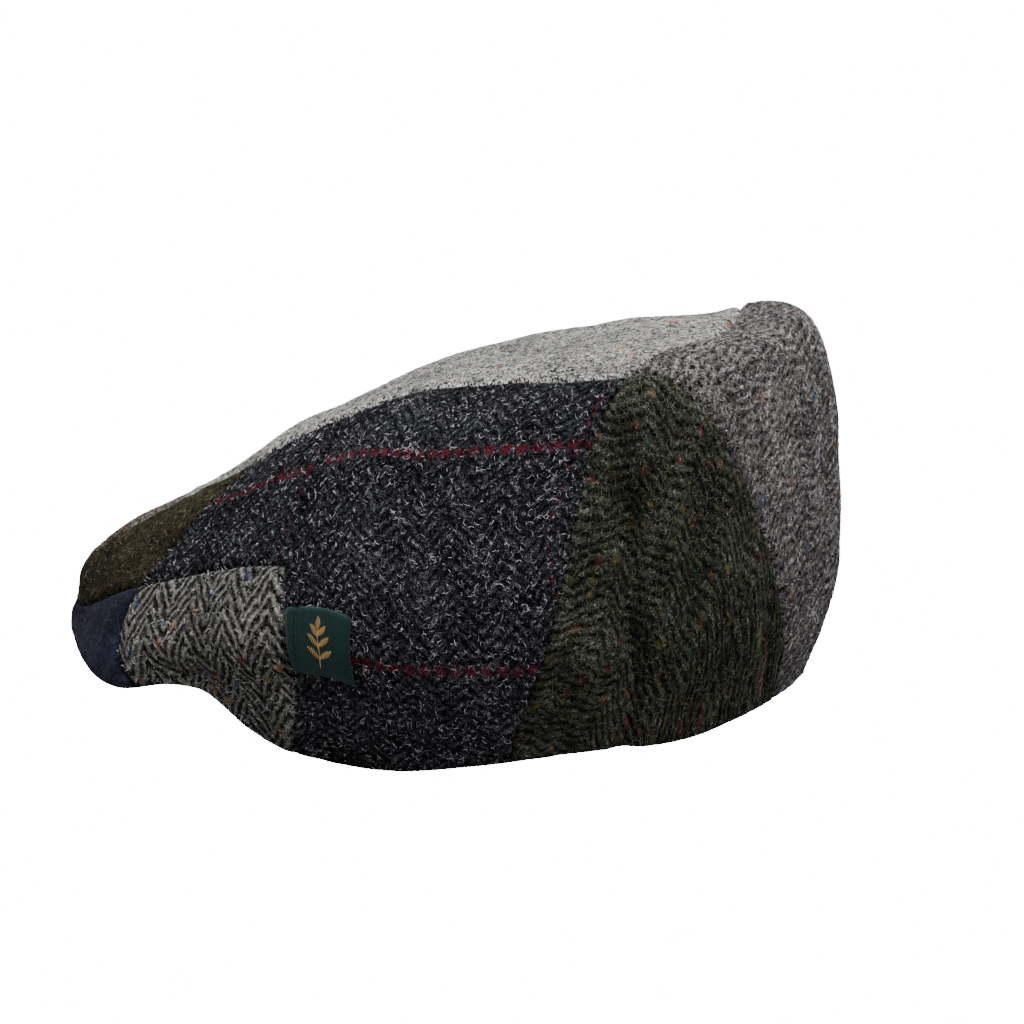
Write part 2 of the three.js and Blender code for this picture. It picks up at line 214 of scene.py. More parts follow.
def section(azimuth):
    """Reach and height of the four rings at each azimuth."""
    long_reach = np.where(np.cos(azimuth) > 0, FRONT_REACH, BACK_REACH)
    reach = 1 / np.hypot(np.sin(azimuth) / HALF_WIDTH, np.cos(azimuth) / long_reach)
    row = smooth(AROUND[:, 0], AROUND[:, 1:], np.degrees(azimuth) % 360)
    return row[..., 0::2] * reach[..., None], row[..., 1::2] * CROWN_HEIGHT


def plain_surface(p, q):
    """The cap's outside without folds; p is the share to the left, q the share to the back."""
    azimuth = np.arctan2(p, -q)
    near = section(azimuth)
    far = section(azimuth + math.pi)
    knots = np.array([-RINGS[0], 0, *RINGS])
    middle = np.full(np.shape(azimuth), MIDDLE_HEIGHT * CROWN_HEIGHT)
    reach = np.stack([-far[0][..., 0], 0 * middle, *np.moveaxis(near[0], -1, 0)])
    height = np.stack([far[1][..., 0], middle, *np.moveaxis(near[1], -1, 0)])
    values = np.stack([reach, height], -1)
    step = np.diff(knots).reshape((-1,) + (1,) * (values.ndim - 1))
    slope = np.diff(values, axis=0) / step
    share = step[1:] / (step[1:] + step[:-1])
    tangent = np.concatenate([slope[:1], slope[:-1] * share + slope[1:] * (1 - share), slope[-1:]])
    radius = np.hypot(p, q)
    i = np.clip(np.searchsorted(knots, radius, side="left") - 1, 0, len(knots) - 2)

    def take(table, at):
        return np.take_along_axis(table, at[None, ..., None], 0)[0]

    h = (knots[i + 1] - knots[i])[..., None]
    t = (radius - knots[i])[..., None] / h
    place = ((2 * t**3 - 3 * t**2 + 1) * take(values, i) + (t**3 - 2 * t**2 + t) * h * take(tangent, i)
             + (3 * t**2 - 2 * t**3) * take(values, i + 1) + (t**3 - t**2) * h * take(tangent, i + 1))
    return np.stack([place[..., 0] * np.sin(azimuth), -place[..., 0] * np.cos(azimuth), place[..., 1]], -1)


def normal_of(surface, p, q):
    """The outward direction of a surface at places on the pattern."""
    across = surface(p + PATTERN_STEP, q) - surface(p - PATTERN_STEP, q)
    back = surface(p, q + PATTERN_STEP) - surface(p, q - PATTERN_STEP)
    normal = np.cross(across, back)
    return normal / np.linalg.norm(normal, axis=-1, keepdims=True)


CREASES = [
    # as the folds: ones that only the fine cloth has
    [0.47, 0.43, 0.54, 0.495, 0.026, -3.0],
    [0.54, 0.495, 0.61, 0.575, 0.026, -3.6],
    [0.61, 0.575, 0.65, 0.65, 0.026, -3.0],
    [0.50, 0.42, 0.62, 0.55, 0.07, -1.4],
    [0.40, 0.45, 0.46, 0.53, 0.06, 1.8],
    [0, 0.58, 0, 0.94, 0.022, -2.4],
    [0.11, -0.90, 0.20, -0.87, 0.055, 2.2],
]


def fold_height(p, q):
    """How far the folds and creases lift the cloth, in millimetres."""
    height = np.zeros(np.shape(p))
    for from_left, from_back, to_left, to_back, width, rise in FOLDS + CREASES:
        line = np.array([to_left - from_left, to_back - from_back])
        left = np.abs(p) - from_left
        back = q - from_back
        way = np.clip((left * line[0] + back * line[1]) / (line @ line), 0, 1)
        height += rise * np.exp(-(np.hypot(left - way * line[0], back - way * line[1]) / width) ** 2)
    return height


def surface(p, q):
    """The cap's outside as it rests, in millimetres."""
    point = plain_surface(p, q) + normal_of(plain_surface, p, q) * fold_height(p, q)[..., None]
    lean = math.radians(REST_LEAN)
    x, y, z = np.moveaxis(point, -1, 0)
    y, z = y * math.cos(lean) + z * math.sin(lean), z * math.cos(lean) - y * math.sin(lean)
    return np.stack([x, y + AXIS_Y, z + REST_LIFT], -1)


# Lines and nets on the flat pattern.

def line_through(points):
    """A smooth line through points of the pattern, as a function of the share of its length."""
    points = np.asarray(points, float)
    knots = np.concatenate([[0], np.cumsum(np.linalg.norm(np.diff(points, axis=0), axis=1))])
    return lambda t: smooth(knots, points, np.asarray(t, float) * knots[-1])


def edge_arc(start, end):
    """The rim between two azimuths."""
    def arc(t):
        azimuth = np.radians(start + (end - start) * np.asarray(t, float))
        return np.stack([np.sin(azimuth), -np.cos(azimuth)], -1)
    return arc


def azimuth_of(point):
    return math.degrees(math.atan2(point[0], -point[1]))


def mirrored(line):
    return lambda t: line(t) * [-1, 1]


def still(point):
    """A line that stays at one point, where a patch ends in a corner."""
    return lambda t: np.asarray(t, float)[..., None] * 0 + np.asarray(point, float)


def joined(first, second, share):
    """Two lines as one, with the first taking this share of the way."""
    def line(t):
        t = np.asarray(t, float)
        early = first(np.minimum(t / share, 1))
        late = second(np.maximum((t - share) / (1 - share), 0))
        return np.where((t <= share)[..., None], early, late)
    return line


def whole_width(half):
    """A line over both sides from one that starts at the middle."""
    def line(t):
        t = np.asarray(t, float)
        return half(np.abs(2 * t - 1)) * np.stack([np.where(t < 0.5, -1, 1), np.ones(t.shape)], -1)
    return line


def reach_of(line):
    """Length of a line of the pattern on the cap, in millimetres."""
    points = line(np.linspace(0, 1, LINE_SAMPLES))
    return np.linalg.norm(np.diff(surface(points[:, 0], points[:, 1]), axis=0), axis=1).sum()


def grid(patch):
    """The patch's places on the pattern: rows from top to bottom, columns from front to back."""
    u, v = np.meshgrid(patch["across"], patch["down"])
    u, v = u[..., None], v[..., None]
    place = (1 - v) * patch["top"](u[..., 0]) + v * patch["bottom"](u[..., 0])
    fade = patch.get("fade", 1)
    for side, weight in (("front", 1 - u / fade), ("back", 1 - (1 - u) / fade)):
        line = patch[side]
        bend = line(v[..., 0]) - (1 - v) * line(np.zeros(1)) - v * line(np.ones(1))
        place = place + np.maximum(weight, 0) * bend
    return place


def steps(length):
    return np.linspace(0, 1, max(LEAST_STEPS, round(length / MESH_STEP)) + 1)


def four_sided(top, bottom, front, back, **more):
    """A patch between four lines, with its steps across and down."""
    across = steps(max(reach_of(top), reach_of(bottom)))
    down = steps(max(reach_of(front), reach_of(back)))
    sides = {"top": top, "bottom": bottom, "front": front, "back": back}
    return {**sides, "across": across, "down": down, **more}


EDGE_FRONT = azimuth_of(TEMPLE_FRONT_SEAM[-1])
EDGE_TEMPLE = azimuth_of(TEMPLE_BACK_SEAM[-1])
EDGE_BACK = azimuth_of(BACK_SEAM[-1])
EDGE_END = azimuth_of(LONG_SEAM[-1])


def side_panels():
    """The patches of the left side; origin is the share across where the cloth is measured from."""
    wedge = four_sided(line_through(LONG_SEAM[2:4]), line_through(TEMPLE_TOP_SEAM),
                       line_through(SLANT_SEAM), line_through(SIDE_LINE), origin=1.0)
    upper = reach_of(line_through(SIDE_LINE))
    lower = reach_of(line_through(TEMPLE_BACK_SEAM))
    meeting = upper / (upper + lower)
    front = joined(line_through(SIDE_LINE), line_through(TEMPLE_BACK_SEAM), meeting)
    body = four_sided(line_through(LONG_SEAM[3:6]), edge_arc(EDGE_TEMPLE, EDGE_BACK), front,
                      line_through(BACK_SEAM), origin=0.0)
    body["down"] = np.concatenate([wedge["down"] * meeting, meeting + steps(lower)[1:] * (1 - meeting)])
    return {
        "front": [four_sided(line_through(LONG_SEAM[0:3]), line_through(FRONT_SEAM[1:]),
                             still(LONG_SEAM[0]), line_through(SLANT_SEAM), origin=0.5)],
        "side": [wedge, body],
        "temple": [four_sided(line_through(TEMPLE_TOP_SEAM), edge_arc(EDGE_FRONT, EDGE_TEMPLE),
                              line_through(TEMPLE_FRONT_SEAM), line_through(TEMPLE_BACK_SEAM), origin=0.5)],
        "back": [four_sided(line_through(LONG_SEAM[5:]), edge_arc(EDGE_BACK, EDGE_END),
                            line_through(BACK_SEAM), still(LONG_SEAM[-1]), origin=0.35)],
    }


def strip(start, end, front_line=None, back_line=None):
    """A patch of the middle strip between two points of the long seam."""
    seam = line_through(LONG_SEAM[start:end + 1])

    def straight(t):
        left, back = seam(np.array([t]))[0]

        def line(u):
            u = np.asarray(u, float)
            return np.stack([left * (2 * u - 1), 0 * u + back], -1)
        return line

    top = front_line or straight(0.0)
    bottom = back_line or straight(1.0)
    return four_sided(top, bottom, mirrored(seam), seam, origin=0.5)


# Cloth pieces.

RANDOM = np.random.default_rng(7)


def waves(count, length):
    """Gentle seeded lumps: a function of the place, about one high."""
    direction = RANDOM.normal(size=(count, 3))
    direction /= np.linalg.norm(direction, axis=1, keepdims=True)
    turns = direction * (2 * math.pi / (length * RANDOM.uniform(0.7, 1.5, (count, 1))))
    phase = RANDOM.uniform(0, 2 * math.pi, count)
    return lambda place: np.sin(place @ turns.T + phase).sum(-1) / math.sqrt(count)


BROAD = waves(count=9, length=55)
MIDDLE = waves(count=12, length=22)
FINE = waves(count=14, length=7)


def weld(patches):
    """One net from the patches: places on the pattern, cloth coordinates and quads."""
    places, cloth, quads, seen = [], [], [], {}
    for patch in patches:
        place = grid(patch)
        point = surface(place[..., 0], place[..., 1])
        down = np.linalg.norm(np.diff(point, axis=0), axis=2)
        down = np.vstack([np.zeros((1, down.shape[1])), np.cumsum(down, axis=0)])
        across = np.linalg.norm(np.diff(point, axis=1), axis=2)
        across = np.hstack([np.zeros((across.shape[0], 1)), np.cumsum(across, axis=1)])
        middle = round(patch["origin"] * (across.shape[1] - 1))
        across = across - across[:, middle:middle + 1]
        index = np.zeros(place.shape[:2], int)
        for j in range(place.shape[0]):
            for i in range(place.shape[1]):
                key = (round(place[j, i, 0] * PLACES_ACROSS), round(place[j, i, 1] * PLACES_ACROSS))
                if key not in seen:
                    seen[key] = len(places)
                    places.append(place[j, i])
                    cloth.append((across[j, i], down[j, i]))
                index[j, i] = seen[key]
        corners = np.stack([index[:-1, :-1], index[:-1, 1:], index[1:, 1:], index[1:, :-1]], -1)
        quads.extend(corners.reshape(-1, 4).tolist())
    places = np.array(places)
    faces = []
    for quad in quads:
        face = list(dict.fromkeys(quad))
        if len(face) > 2:
            a = places[face]
            area = (a[:, 0] * np.roll(a[:, 1], -1) - a[:, 1] * np.roll(a[:, 0], -1)).sum()
            faces.append(face if area > 0 else face[::-1])
    return places, np.array(cloth), faces


def border_edges(faces):
    """Edges that only one face has."""
    edges = {(a, b) for face in faces for a, b in zip(face, face[1:] + face[:1])}
    return [(a, b) for a, b in edges if (b, a) not in edges]


def above_floor(points):
    """The points, with those of the rim that would dip into the floor laid on it."""
    return np.maximum(np.asarray(points, float), [-np.inf, -np.inf, 0])


def mesh_object(name, points, faces, material, cloth=None):
    mesh = bpy.data.meshes.new(name)
    mesh.from_pydata((above_floor(points) * MM).tolist(), [], faces)
    if cloth is not None:
        layer = mesh.uv_layers.new(name="UVMap")
        loops = np.zeros(len(mesh.loops), np.int32)
        mesh.loops.foreach_get("vertex_index", loops)
        layer.data.foreach_set("uv", (np.asarray(cloth)[loops] * MM).astype(np.float32).ravel())
    mesh.materials.append(material)
    mesh.shade_smooth()
    piece = bpy.data.objects.new(name, mesh)
    bpy.context.scene.collection.objects.link(piece)
    return piece


def near_tree(points):
    tree = kdtree.KDTree(len(points))
    for i, point in enumerate(points):
        tree.insert(point, i)
    tree.balance()
    return tree


PANELS = {}
SLOTS = {}


def cloth_panel(name, slot, material, patches, drift=None):
    """A panel of cloth whose edges roll down into its seams."""
    places, cloth, faces = weld(patches)
    if drift:
        drift = np.array(drift, float)
        cloth[:, 1] -= smooth(drift[:, 0], drift[:, 1:], cloth[:, 0])[:, 0]
    point = surface(places[:, 0], places[:, 1])
    normal = normal_of(surface, places[:, 0], places[:, 1])
    border = border_edges(faces)
    inward = np.zeros_like(point)
    for a, b in border:
        side = np.cross(normal[a] + normal[b], point[b] - point[a])
        side /= np.linalg.norm(side)
        inward[a] += side
        inward[b] += side
    on_border = sorted({i for edge in border for i in edge})
    length = np.linalg.norm(inward[on_border], axis=1, keepdims=True)
    inward[on_border] *= np.minimum(CORNER_LIMIT, 2 / length) / length * SEAM_GAP / 2
    tree = near_tree(point[on_border])
    distance = np.array([tree.find(p)[2] for p in point])
    rolled = np.clip(1 - distance / SEAM_ROLL, 0, 1)
    height = -SEAM_SINK * (1 - np.sqrt(np.clip(1 - rolled**2, 0, 1)))
    height += LUMPS * (BROAD(point) + SMALL_LUMPS * MIDDLE(point)) * (1 - rolled)
    height += PUCKER * FINE(point) * np.exp(-distance / PUCKER_REACH) * (1 - rolled)
    outside = point + inward + normal * height[:, None]
    inside = point + inward - normal * CLOTH
    count = len(point)
    walls = [[b, a, a + count, b + count] for a, b in border]
    all_faces = faces + [[i + count for i in reversed(face)] for face in faces] + walls
    piece = mesh_object(name, np.vstack([outside, inside]), all_faces, material, np.vstack([cloth, cloth]))
    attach(piece, "root")
    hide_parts(name)
    SLOTS[name] = slot
    quads = np.array([(face + face[-1:])[:4] for face in faces])
    a, b, c, d = (outside[quads[:, k]] for k in range(4))
    first_half = np.linalg.norm(np.cross(b - a, c - a), axis=1)
    second_half = np.linalg.norm(np.cross(c - a, d - a), axis=1)
    area = (first_half + second_half) / 2
    PANELS[name] = {"outside": outside, "normal": normal, "quads": quads, "area": area}
    width, length = (np.ptp(cloth, axis=0) * MM).tolist()


# Materials.

# What all the cloths share: the ways that loose fibres lie, steps of the patterns, and gloss.
ALL_WAYS = (0.15, 0.95, 1.75, 2.55)
FIBRE_OFFSET = 13.7
FIBRE_EDGE = 0.1
DASH = 5.0
PITCHES_BEFORE = 20
SPECULAR = 0.04
SHEEN_ROUGHNESS = 0.5


class Nodes:
    """Short calls for a material's nodes, in millimetres. An offset picks another part of a pattern."""

    def __init__(self, name, roughness=0.92, sheen=0.0):
        self.material = bpy.data.materials.new(name)
        self.material.use_nodes = True
        self.tree = self.material.node_tree
        self.shader = self.tree.nodes["Principled BSDF"]
        self.shader.inputs["Roughness"].default_value = roughness
        self.shader.inputs["Specular IOR Level"].default_value = SPECULAR
        self.shader.inputs["Sheen Weight"].default_value = sheen
        self.shader.inputs["Sheen Roughness"].default_value = SHEEN_ROUGHNESS

    def put(self, socket, value):
        if isinstance(value, bpy.types.NodeSocket):
            self.tree.links.new(value, socket)
        else:
            socket.default_value = value

    def math(self, operation, *values):
        node = self.tree.nodes.new("ShaderNodeMath")
        node.operation = operation
        for socket, value in zip(node.inputs, values):
            self.put(socket, value)
        return node.outputs[0]

    def vector(self, operation, *values):
        node = self.tree.nodes.new("ShaderNodeVectorMath")
        node.operation = operation
        for socket, value in zip(node.inputs, values):
            self.put(socket, value)
        return node.outputs[0]

    def cloth(self):
        """The place on the cloth, as a vector of across and down."""
        uv = self.tree.nodes.new("ShaderNodeUVMap")
        uv.uv_map = "UVMap"
        return self.vector("MULTIPLY", uv.outputs[0], (1 / MM, 1 / MM, 0))

    def parts(self, place):
        """How far across and how far down a place lies."""
        split = self.tree.nodes.new("ShaderNodeSeparateXYZ")
        self.put(split.inputs[0], place)
        return split.outputs[0], split.outputs[1]

    def laid(self, place, turn, length, width, offset):
        """The place measured along and across threads that lie at an angle."""
        node = self.tree.nodes.new("ShaderNodeMapping")
        node.vector_type = "TEXTURE"
        self.put(node.inputs["Vector"], place)
        node.inputs["Location"].default_value = (offset, offset * 1.7, 0)
        node.inputs["Rotation"].default_value = (0, 0, turn)
        node.inputs["Scale"].default_value = (length, width, 1)
        return node.outputs[0]

    def noise(self, place, size, detail=1.0, roughness=0.5, offset=0.0):
        node = self.tree.nodes.new("ShaderNodeTexNoise")
        node.noise_dimensions = "2D"
        self.put(node.inputs["Vector"], self.vector("ADD", place, (offset, offset, 0)) if offset else place)
        node.inputs["Scale"].default_value = 1 / size
        node.inputs["Detail"].default_value = detail
        node.inputs["Roughness"].default_value = roughness
        return node

    def step(self, value, low, high, start=0.0, end=1.0):
        node = self.tree.nodes.new("ShaderNodeMapRange")
        node.interpolation_type = "SMOOTHSTEP"
        ends = {"Value": value, "From Min": low, "From Max": high, "To Min": start, "To Max": end}
        for name, x in ends.items():
            self.put(node.inputs[name], x)
        return node.outputs[0]

    def mix(self, factor, first, second):
        node = self.tree.nodes.new("ShaderNodeMix")
        node.data_type = "RGBA"
        self.put(node.inputs[0], factor)
        self.put(node.inputs[6], (*first, 1) if isinstance(first, tuple) else first)
        self.put(node.inputs[7], (*second, 1) if isinstance(second, tuple) else second)
        return node.outputs[2]

    def shaded(self, color, amount):
        node = self.tree.nodes.new("ShaderNodeVectorMath")
        node.operation = "SCALE"
        self.put(node.inputs[0], color)
        self.put(node.inputs["Scale"], amount)
        return node.outputs[0]

    def bent(self, place, size, amount, offset=0.0):
        """The place, pushed about so that straight threads turn curly."""
        cloud = self.noise(place, size, offset=offset).outputs["Color"]
        push = self.vector("SUBTRACT", cloud, (0.5, 0.5, 0.5))
        return self.vector("ADD", place, self.vector("MULTIPLY", push, (amount, amount, 0)))

    def fibres(self, place, turns, length, width, start, offset=0.0):
        """Short curly fibres at a few angles, from 0 to 1. A lower start shows more of them."""
        curly = self.bent(place, size=2.2, amount=3.0, offset=offset)
        best = None
        for k, turn in enumerate(turns):
            lie = self.laid(curly, turn, length, width, offset + FIBRE_OFFSET * k)
            streak = self.step(self.noise(lie, 1.0).outputs["Fac"], start, start + FIBRE_EDGE)
            best = streak if best is None else self.math("MAXIMUM", best, streak)
        return best

    def herringbone(self, place, column, pitch, slope, wander):
        """Stripes that turn back at each column, from 0 to 1."""
        across, down = self.parts(self.bent(place, size=5.0, amount=wander, offset=50.0))
        zigzag = self.math("PINGPONG", across, column)
        turns = self.math("DIVIDE", self.math("MULTIPLY_ADD", zigzag, slope, down), pitch)
        wave = self.math("SINE", self.math("MULTIPLY", turns, 2 * math.pi))
        return self.math("MULTIPLY_ADD", wave, 0.5, 0.5)

    def flecks(self, color, place, colors, size, share, strength=0.8):
        """Coloured neps: a few cells of the cloth take one of the colours."""
        node = self.tree.nodes.new("ShaderNodeTexVoronoi")
        node.voronoi_dimensions = "2D"
        self.put(node.inputs["Vector"], self.bent(place, size=1.3, amount=1.6, offset=90.0))
        node.inputs["Scale"].default_value = 1 / size
        split = self.tree.nodes.new("ShaderNodeSeparateColor")
        self.put(split.inputs[0], node.outputs["Color"])
        near = self.step(node.outputs["Distance"], low=0.10, high=0.26, start=strength, end=0.0)
        for k, tint in enumerate(colors):
            above = self.math("GREATER_THAN", split.outputs[0], k * share / len(colors))
            below = self.math("LESS_THAN", split.outputs[0], (k + 1) * share / len(colors))
            chosen = self.math("MULTIPLY", above, below)
            color = self.mix(self.math("MULTIPLY", near, chosen), color, tint)
        return color

    def dashes(self, color, place, lines, tint):
        """Thin dashed lines of a window pane: each set has its start, pitch, width and strength."""
        across, down = self.parts(self.bent(place, size=1.8, amount=1.4, offset=70.0))
        for value, other, start, pitch, width, strength in (
                (down, across, *lines["along"]), (across, down, *lines["upright"])):
            away = self.math("PINGPONG", self.math("ADD", value, pitch * PITCHES_BEFORE - start), pitch / 2)
            line = self.step(away, low=width * 0.4, high=width, start=1.0, end=0.0)
            wave = self.math("SINE", self.math("MULTIPLY", other, 2 * math.pi / DASH))
            dash = self.step(wave, low=-0.95, high=0.1)
            worn = self.step(self.noise(place, 0.7, 2.0, offset=31.0).outputs["Fac"], low=0.38, high=0.60)
            kept = self.math("MULTIPLY", worn, strength)
            color = self.mix(self.math("MULTIPLY", self.math("MULTIPLY", line, dash), kept), color, tint)
        return color

    def finish(self, color, height, relief):
        self.put(self.shader.inputs["Base Color"], color)
        bump = self.tree.nodes.new("ShaderNodeBump")
        bump.inputs["Strength"].default_value = 1.0
        bump.inputs["Distance"].default_value = relief * MM
        self.put(bump.inputs["Height"], height)
        self.put(self.shader.inputs["Normal"], bump.outputs[0])
        return self.material


def tweed(name, dark, light, hair, weave=0.6, column=None, pitch=2.4, slope=1.0, wander=1.5,
          marl=0.35, grain=0.8, low=0.42, high=0.62, tone=0.25, hairs=0.6, hair_strength=0.8,
          hair_length=1.7, hair_width=0.42, gather=0.0, flecks=(), fleck_size=7.0, fleck_share=0.12,
          relief=0.6, pane=None, sheen=0.008):
    """Wool cloth: woven stripes of two yarns under short hairs, with neps and, if wanted, a window pane."""
    n = Nodes(name, 0.95, sheen)
    place = n.cloth()
    rough = n.noise(place, grain, 3.0, 0.65, offset=7.0).outputs["Fac"]
    if column:
        woven = n.herringbone(place, column, pitch, slope, wander)
    else:
        rows = n.laid(n.bent(place, size=4.0, amount=2.0), turn=0.0, length=3.2, width=1.0, offset=3.0)
        woven = n.noise(rows, 1.0, 2.0).outputs["Fac"]
    value = n.math("ADD", n.math("MULTIPLY", woven, weave), n.math("MULTIPLY", rough, 1 - weave))
    yarns = n.fibres(place, (0.6, 2.5), length=1.5, width=0.5, start=0.53, offset=200.0)
    value = n.math("MULTIPLY_ADD", n.math("SUBTRACT", yarns, 0.35), marl, value)
    twist = n.noise(n.bent(place, size=1.5, amount=1.5), 0.55, 2.0, 0.7, offset=61.0).outputs["Fac"]
    spun = n.step(twist, low=0.3, high=0.72, start=0.3, end=1.9)
    color = n.mix(n.step(value, low, high), dark, n.shaded(light, spun))
    if flecks:
        color = n.flecks(color, place, flecks, fleck_size, fleck_share)
    loose = n.fibres(place, ALL_WAYS, hair_length, hair_width, hairs, offset=400.0)
    tufts = n.noise(place, 3.5, 3.0, 0.6, offset=23.0).outputs["Fac"]
    uneven = n.step(tufts, low=0.3, high=0.65, start=0.15, end=1.0)
    uneven = n.math("MULTIPLY", uneven, n.math("MULTIPLY_ADD", woven, gather, 1 - gather))
    loose = n.math("MULTIPLY", loose, n.math("MULTIPLY", uneven, hair_strength))
    color = n.mix(loose, color, hair)
    if pane:
        color = n.dashes(color, place, pane, pane["tint"])
    cloud = n.noise(place, 18.0, 2.0, offset=11.0).outputs["Fac"]
    color = n.shaded(color, n.step(cloud, low=0.3, high=0.7, start=1 - tone, end=1 + tone))
    height = n.math("ADD", n.math("MULTIPLY", value, 0.6), n.math("MULTIPLY", loose, 0.6))
    return n.finish(color, height, relief)


def felt(name, dark, light):
    """Matted wool: soft clouds under short hairs."""
    n = Nodes(name, 0.95, sheen=0.04)
    place = n.cloth()
    cloud = n.noise(place, 9.0, 4.0, 0.65).outputs["Fac"]
    hair = n.fibres(place, ALL_WAYS, length=1.6, width=0.4, start=0.56)
    amount = n.math("MULTIPLY_ADD", hair, 0.45, n.math("MULTIPLY", n.step(cloud, low=0.3, high=0.75), 0.5))
    return n.finish(n.mix(amount, dark, light), n.math("MULTIPLY_ADD", cloud, 0.5, hair), relief=0.3)


def plain_cloth(name, dark, light):
    """A close, even weave in two near tones."""
    n = Nodes(name, 0.85, sheen=0.1)
    coordinates = n.tree.nodes.new("ShaderNodeTexCoord")
    weave = n.tree.nodes.new("ShaderNodeTexNoise")
    n.put(weave.inputs["Vector"], coordinates.outputs["Object"])
    weave.inputs["Scale"].default_value = 1.1 / MM
    return n.finish(n.mix(weave.outputs["Fac"], dark, light), weave.outputs["Fac"], relief=0.1)


def one_color(name, color, roughness, sheen):
    """A material of one colour, for threads and hairs."""
    n = Nodes(name, roughness, sheen)
    n.shader.inputs["Base Color"].default_value = (*color, 1)
    return n.material


SALT = tweed(
    "salt_pepper_herringbone", (0.0010, 0.0010, 0.0010), (0.185, 0.177, 0.155), (0.75, 0.73, 0.68),
    weave=0.70, column=9.4, pitch=5.8, slope=1.6, wander=2.4, marl=0.34, low=0.60, high=0.70, tone=0.2,
    hairs=0.62, hair_strength=0.9, hair_length=1.2, hair_width=0.28, gather=0.7, relief=1.8,
    fleck_size=7.5, fleck_share=0.30,
    flecks=((0.40, 0.13, 0.04), (0.015, 0.04, 0.14), (0.33, 0.22, 0.05), (0.20, 0.03, 0.02)))
CHARCOAL = tweed(
    "charcoal_marl_tweed", (0.0006, 0.0008, 0.0016), (0.0055, 0.0065, 0.0095), (0.55, 0.57, 0.63),
    weave=0.6, column=9.0, pitch=4.2, slope=1.0, wander=2.0, marl=0.30, low=0.50, high=0.66,
    hairs=0.655, hair_strength=0.9, hair_length=1.0, hair_width=0.24, gather=0.85, relief=1.2,
    pane={"tint": (0.15, 0.008, 0.022), "along": (28.0, 70.0, 2.1, 1.0), "upright": (-4.0, 102.0, 1.2, 0.4)})
GREEN = tweed(
    "green_herringbone_tweed", (0.0010, 0.0014, 0.0012), (0.024, 0.030, 0.0195), (0.42, 0.43, 0.35),
    weave=0.6, column=11.0, pitch=4.0, slope=0.5, wander=2.0, marl=0.35, low=0.48, high=0.64, tone=0.35,
    hairs=0.635, hair_strength=0.85, hair_length=1.1, hair_width=0.26, gather=0.7, relief=1.3,
    fleck_size=6.5, fleck_share=0.34,
    flecks=((0.012, 0.045, 0.040), (0.13, 0.05, 0.016), (0.11, 0.09, 0.016), (0.12, 0.012, 0.012)))
OLIVE = tweed(
    "olive_tweed", (0.0026, 0.0026, 0.0014), (0.035, 0.030, 0.015), (0.17, 0.15, 0.10),
    weave=0.45, hairs=0.63, hair_strength=0.6, fleck_share=0.3,
    flecks=((0.09, 0.055, 0.014), (0.018, 0.034, 0.016)))
CREAM = tweed(
    "cream_marl_tweed", (0.0012, 0.0012, 0.0012), (0.66, 0.64, 0.58), (0.92, 0.91, 0.86),
    weave=0.30, column=10.0, pitch=7.5, slope=1.2, wander=5.0, marl=0.45, grain=3.0, low=0.56,
    hairs=0.62, hair_strength=0.7, relief=1.8, fleck_size=9.0, fleck_share=0.16,
    flecks=((0.45, 0.12, 0.04), (0.06, 0.11, 0.07)))
MAUVE_BROWN = tweed(
    "mauve_brown_tweed", (0.004, 0.003, 0.0026), (0.12, 0.095, 0.082), (0.60, 0.55, 0.52),
    weave=0.55, column=8.0, pitch=4.0, wander=3.0, marl=0.6, hairs=0.63, relief=1.2,
    fleck_size=8.0, fleck_share=0.14, flecks=((0.2, 0.09, 0.05),))
MAUVE_GREY = tweed(
    "mauve_grey_marl_tweed", (0.0012, 0.0010, 0.0010), (0.105, 0.092, 0.090), (0.95, 0.89, 0.88),
    weave=0.55, column=7.0, pitch=3.4, slope=0.45, wander=2.0, marl=0.5, low=0.46, high=0.60,
    hairs=0.62, hair_strength=0.95, hair_length=1.2, hair_width=0.3, gather=0.6, relief=1.4,
    fleck_size=9.0, fleck_share=0.14, flecks=((0.20, 0.09, 0.05), (0.045, 0.07, 0.14)))
NAVY = felt("navy_felted_wool", (0.0030, 0.0034, 0.0078), (0.032, 0.035, 0.066))
LINING = plain_cloth("peak_lining", (0.005, 0.005, 0.008), (0.014, 0.015, 0.022))
LABEL = plain_cloth("label_weave", (0.004, 0.013, 0.0125), (0.009, 0.034, 0.032))
GOLD = one_color("gold_thread", (0.42, 0.25, 0.085), roughness=0.6, sheen=0.2)
LABEL_THREAD = one_color("label_thread", (0.002, 0.012, 0.010), roughness=0.6, sheen=0.2)


# Loose wool, peak and label.

